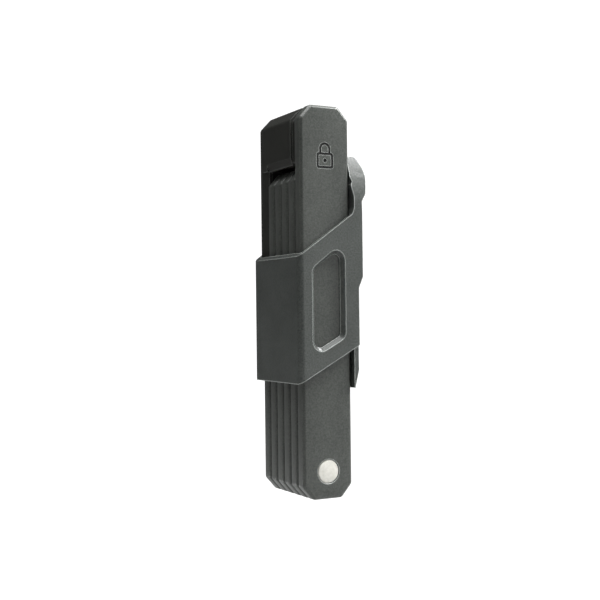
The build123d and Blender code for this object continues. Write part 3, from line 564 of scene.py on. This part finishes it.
rivet_steel = grained("pale_rivet_steel", (0.80, 0.79, 0.71), (0.93, 0.92, 0.85), (0.42, 0.62), 1.4, 0.012,
                      metallic=0.1)
grip = (PITCH + BAR_THICK) / 2
head = grip + HEAD_THICK
turned_half = [(0, -head), (HEAD_RADIUS - 0.6, -head), (HEAD_RADIUS - 0.25, -head + 0.08),
               (HEAD_RADIUS - 0.06, -head + 0.22), (HEAD_RADIUS, -head + 0.4), (HEAD_RADIUS, -grip),
               (SHANK_RADIUS, -grip)]
rivets = fold_row("link_rivets", turned_half + [(r, -h) for r, h in turned_half[::-1]], rivet_steel)
finish(rivets, "lock", "rivet_steel", *[f"rivet_{n}_{n + 1}" for n in range(1, 6)])
gap = (PITCH - BAR_THICK) / 2
washer = [(WASHER_BORE, -gap), (WASHER_RADIUS, -gap), (WASHER_RADIUS, gap), (WASHER_BORE, gap)]
washer += washer[:1]
washers = fold_row("spacer_washers", washer, dull_steel)
finish(washers, "lock", "bar_steel", "link_washers")

# ---------------------------------------------------------------------------------------------
# The lock head: a hardened case on the back bar holds a brass disc cylinder, whose core turns a
# cam that slides the bolt across the front link's stud. All of it is turned or milled and sits
# inside the housing, so these pieces keep their CAD shape.
# ---------------------------------------------------------------------------------------------
repaint(dull_steel, "lock_case", "locking_bolt", "locking_stud", "tail_cam")
cylinder_brass = grained("machined_brass", (0.55, 0.40, 0.17), (0.70, 0.53, 0.25), (0.25, 0.42), 0.9, 0.008,
                         metallic=1.0, streak=(1, 1, 6))
repaint(cylinder_brass, "cylinder_body", "key_core", "detainer_discs", "sidebar")
zinc_plate = grained("zinc_plated_steel", (0.50, 0.51, 0.52), (0.68, 0.69, 0.70), (0.30, 0.48), 0.8, 0.010,
                     metallic=1.0)
repaint(zinc_plate, "case_screws", "cylinder_pin", "core_clip")

# ---------------------------------------------------------------------------------------------
# The housing over the case is moulded in a darker nylon: cut to the links' own corners, with a
# narrower neck behind the front link, a bevel round its lower rim and an arm that runs down the
# back link. It is held by two roll pins and the screws, and its top takes the dust cover on a rivet.
# ---------------------------------------------------------------------------------------------
HEAD_LOW, HEAD_FRONT, HEAD_BACK, HEAD_ROUND = 165.8, 10.6, 45.4, 1.2
NECK_FRONT, NECK_IN, NECK_ROUND = 7.1, 1.4, 2.0
ARM_FRONT, ARM_BEVEL = 36.95, 5.6
RIM_IN, RIM_UP = 1.3, 3.6
CASE_HALF, CASE_FRONT, CASE_BACK, CASE_TOP = 10.7, 12.8, 37.6, 171
CYLINDER_Y, COVER_Y, COVER_ROOM, COVER_IN, COVER_FLOOR = 27.6, 36.2, 5.9, -5.6, 193.6
KEY_ROOM, KEY_FLOOR = 4.8, 191.0
PIVOT_ROOM, PIVOT_FLOOR = 1.35, 188.0
ABOVE_LOCK = 200


def head_outline(low, inset=0.0):
    """The head's outline, anticlockwise from its lower rim."""
    half, top = HALF - inset, LOCK_HEIGHT - inset
    in_x, down_z = CORNER_CUT[0] + 0.6 - 0.4 * inset, CORNER_CUT[1] - 0.4 * inset
    return [(-half, low, 0.3), (half, low, 0.3), (half, top - down_z), (half - in_x, top), (in_x - half, top),
            (-half, top - down_z)]


def block(name, low, high, material):
    """A square block between two corners."""
    ring = [(low[0], low[2]), (high[0], low[2]), (high[0], high[2]), (low[0], high[2])]
    return ring_solid(name, [[at(x, y, z) for x, z in ring] for y in (low[1], high[1])], material)


def upright(name, outline, low, high, material, rounding=0.3):
    """A solid with an outline in X and Y, from one height to another."""
    points = rounded(outline, 0, rounding)
    return ring_solid(name, [[at(p.x, p.y, z) for p in points] for z in (low, high)], material)


def round_outline(radius, depth, corners):
    """A circle's outline in X and Y, about a point on the middle plane."""
    turns = [math.tau * i / corners for i in range(corners)]
    return [(radius * math.cos(a), depth + radius * math.sin(a), 0.01) for a in turns]


head_nylon = grained("head_nylon", (0.020, 0.021, 0.018), (0.036, 0.037, 0.033), (0.40, 0.56), 0.60, 0.020,
                     specular=0.35, edge_highlight=0.2)
rings = [[at(p.x, y, p.y) for p in rounded(head_outline(HEAD_LOW), inset)]
         for inset, y in [(0, HEAD_FRONT)] + eased_edge(HEAD_ROUND, HEAD_BACK, -1)[::-1]]
housing = ring_solid("head_housing_moulding", rings, head_nylon)
arm = upright("arm", [(RIM_IN - HALF, ARM_FRONT), (HALF - RIM_IN, ARM_FRONT), (HALF, ARM_FRONT + ARM_BEVEL),
                      (HALF, HEAD_BACK, HEAD_ROUND), (-HALF, HEAD_BACK, HEAD_ROUND),
                      (-HALF, ARM_FRONT + ARM_BEVEL)],
              ARM_END, HEAD_LOW + 8, head_nylon)
neck = slab("neck", head_outline(HEAD_LOW + 1, NECK_IN), NECK_FRONT, HEAD_FRONT + 1, head_nylon,
            rounding=NECK_ROUND)
combine(housing, "UNION", arm, neck)
rims = []
for hand in (1, -1):
    outside, foot = hand * (HALF + 2), HEAD_LOW - 2
    wedge = [(outside, foot), (outside, HEAD_LOW + RIM_UP), (hand * HALF, HEAD_LOW + RIM_UP),
             (hand * (HALF - RIM_IN * 14 / 9), foot)]
    rims.append(slab("rim", wedge[::hand], HEAD_FRONT - 1, ARM_FRONT, head_nylon, rounding=0.01))
combine(housing, "DIFFERENCE", *rims,
        block("case_room", (-CASE_HALF, CASE_FRONT, 160), (CASE_HALF, CASE_BACK, CASE_TOP), head_nylon),
        block("cover_room", (COVER_IN, CYLINDER_Y - COVER_ROOM, COVER_FLOOR),
              (20, COVER_Y + COVER_ROOM, ABOVE_LOCK), head_nylon),
        upright("key_room", round_outline(KEY_ROOM, CYLINDER_Y, 40), KEY_FLOOR, ABOVE_LOCK, head_nylon),
        upright("pivot_room", round_outline(PIVOT_ROOM, COVER_Y, 24), PIVOT_FLOOR, ABOVE_LOCK, head_nylon))
soften(housing, 0.3, 14)
finish(housing, "lock", "head_plastic", "head_housing")
repaint(head_nylon, "dust_cover")
repaint(zinc_plate, "housing_pins", "cover_rivet")

# ---------------------------------------------------------------------------------------------
# The holster: one glass-filled nylon moulding, slid over its plate. Its rims and window slant,
# a leg runs on below it and a springy tongue above it on the frame side; the tongue carries a
# thumb pad and the tooth that holds the lock, and bends at its root where it leaves the sleeve.
# ---------------------------------------------------------------------------------------------
WALL, PLAY = 2.55, 0.35
ROOM_HALF, ROOM_BACK = HALF + PLAY, HEAD_BACK + PLAY
LEFT, RIGHT, SHOULDER_RIGHT, PAST_RIGHT = -(ROOM_HALF + WALL), 17.2, 19.6, 30
NEAR, FAR = -(PLAY + WALL), ROOM_BACK + WALL
UNDER, OVER = 40, 190
SIDE_ROUND, ROOM_ROUND = 3, 1.0
LOW_LEFT, LOW_SLOPE = 57.2, 0.5423
TOP_LEFT, TOP_SLOPE = 119.6, 0.7066
TONGUE_TOP, TONGUE_LEAN, TONGUE_ARC, TOOTH_TIP = 171.4, 143.0, 57.0, 14.0
LEG_IN, LEG_TOE, LEG_TIP, LEG_KNEE, LEG_TOP = 14.6, 0.4, 54.3, 63.2, 90
LEDGE_LOW, LEDGE_FRONT = 66, 44.55
WINDOW_BEVEL, WINDOW_ROUND = 1.9, 3.2
MOUNT_Y, RAIL_IN, LIP_IN, RAIL_OUT = 22.7, 11.2, 13.2, 15.4
RAIL_LOW, CAP_LOW, CAP_HIGH, RAIL_BACK, GROOVE_BACK = 63, 138.2, 140.4, 21.3, 19.75


def low_rim(x):
    """The height of the holster's lower rim, which climbs towards the frame."""
    return LOW_LEFT + (x - LEFT) * LOW_SLOPE


def top_rim(x):
    """The height of its upper rim, which climbs more steeply."""
    return TOP_LEFT + (x - LEFT) * TOP_SLOPE


holster_nylon = grained("holster_nylon", (0.052, 0.059, 0.054), (0.104, 0.113, 0.106), (0.28, 0.48), 0.80,
                        0.07, speck=0.40, edge_highlight=0.9)
silhouette = [
    (LEFT - 2, LOW_LEFT - 2 * LOW_SLOPE), (RIGHT, low_rim(RIGHT)),
    (RIGHT, 104.3, 2), (SHOULDER_RIGHT, 110.0, 2), (SHOULDER_RIGHT, 147.6, 1), (20.2, 148.8, 1),
    (22.0, 151.6, 2), (23.3, 160.5, 6), (22.6, 164.6, 3), (20.4, 169.4, 2), (18.6, TONGUE_TOP, 0.8),
    (TOOTH_TIP + 1.2, TONGUE_TOP - 0.6, 0.8), (TOOTH_TIP, 169.6, 0.6), (TOOTH_TIP, 160.4, 0.8),
    (15.0, 157.6, 0.6), (TOOTH_TIP + 0.1, 156.2, 0.3), (TOOTH_TIP + 0.1, 155.4, 0.3), (15.2, 150.0, 3),
    (15.0, 144.5, 3), (13.9, top_rim(13.9), 2.6), (LEFT - 2, TOP_LEFT - 2 * TOP_SLOPE)]
moulding = slab("holster_moulding", silhouette, NEAR, FAR, holster_nylon, rounding=0.01)
plan = [(LEFT, NEAR, SIDE_ROUND), (PAST_RIGHT, NEAR), (PAST_RIGHT, FAR), (LEFT, FAR, SIDE_ROUND)]
rises = [(TONGUE_TOP - TONGUE_LEAN) * t for t in (0, 0.2, 0.4, 0.6, 0.8, 1, 1.15)]
lean = [(NEAR + rise ** 2 / (2 * TONGUE_ARC), TONGUE_LEAN + rise) for rise in rises]
side = [(NEAR - 1, UNDER), (FAR + 1, UNDER), (FAR + 1, TONGUE_LEAN)] + [(NEAR + FAR - y, z) for y, z in lean]
side += lean[::-1] + [(NEAR - 1, TONGUE_LEAN)]
profile = ring_solid("profile", [[at(x, y, z) for y, z in side] for x in (-40, 40)], holster_nylon)
combine(moulding, "INTERSECT", upright("plan", plan, UNDER, OVER, holster_nylon), profile)
leg = [(LEG_IN, LEG_TIP, 0.2), (LEG_IN + LEG_TOE, LEG_TIP, 0.2), (RIGHT, LEG_KNEE, 1), (RIGHT, LEG_TOP),
       (LEG_IN, LEG_TOP)]
combine(moulding, "UNION", slab("leg", leg, NEAR + 1, FAR - 1, holster_nylon, rounding=0.01))
room = [(-ROOM_HALF, -PLAY), (ROOM_HALF, -PLAY), (ROOM_HALF, ROOM_BACK), (-ROOM_HALF, ROOM_BACK)]
combine(moulding, "DIFFERENCE", upright("room", room, UNDER, OVER, holster_nylon, ROOM_ROUND))
combine(moulding, "UNION", block("ledge", (-ROOM_HALF - 0.5, LEDGE_FRONT, LEDGE_LOW),
                                 (ROOM_HALF + 0.5, ROOM_BACK + 0.5, ARM_END), holster_nylon))
window = [(-7.6, 72.6), (7.4, 80.7), (7.4, 124.3), (-7.6, 112.9)]
rings = [[at(p.x, y, p.y) for p in rounded(window, -grow, WINDOW_ROUND)] for grow, y in (
    (WINDOW_BEVEL, NEAR - 2), (WINDOW_BEVEL, NEAR), (0, NEAR + WALL - 0.3), (0, 5))]
combine(moulding, "DIFFERENCE", ring_solid("window", rings, holster_nylon),
        block("plate_room", (RIGHT, MOUNT_Y - LIP_IN, UNDER), (PAST_RIGHT, MOUNT_Y + LIP_IN, CAP_LOW),
              holster_nylon))
for hand in (-1, 1):
    y_room, y_in, y_lip, y_out = (MOUNT_Y + hand * y for y in (RAIL_IN - 2, RAIL_IN, LIP_IN, RAIL_OUT))
    rail = block("rail", (RIGHT - 0.5, min(y_in, y_out), RAIL_LOW), (RAIL_BACK, max(y_in, y_out), CAP_HIGH),
                 holster_nylon)
    combine(rail, "DIFFERENCE", block("groove", (RIGHT, min(y_room, y_lip), UNDER),
                                      (GROOVE_BACK, max(y_room, y_lip), CAP_LOW), holster_nylon))
    combine(moulding, "UNION", rail)
combine(moulding, "UNION", block("cap", (RIGHT - 0.5, MOUNT_Y - RAIL_IN - 0.1, CAP_LOW),
                                 (RAIL_BACK, MOUNT_Y + RAIL_IN + 0.1, CAP_HIGH), holster_nylon))
soften(moulding, 0.45, 24)
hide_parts("holster_sleeve", "release_tongue")
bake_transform(moulding)

# ---------------------------------------------------------------------------------------------
# Beside it a nylon plate is bolted to the frame's bosses over a rubber pad, and two screws from
# inside keep the holster on it. Two soft pads let into the outer wall stop the links from rattling.
# ---------------------------------------------------------------------------------------------
soft_rubber = grained("soft_rubber", (0.018, 0.018, 0.018), (0.034, 0.034, 0.033), (0.62, 0.85), 0.6, 0.02,
                      specular=0.3)
repaint(soft_rubber, "frame_pad", "anti_rattle_pads")
plate_nylon = grained("plate_nylon", (0.045, 0.048, 0.046), (0.080, 0.084, 0.080), (0.45, 0.62), 0.45, 0.02)
repaint(plate_nylon, "mount_plate")
repaint(zinc_plate, "fixing_screws")
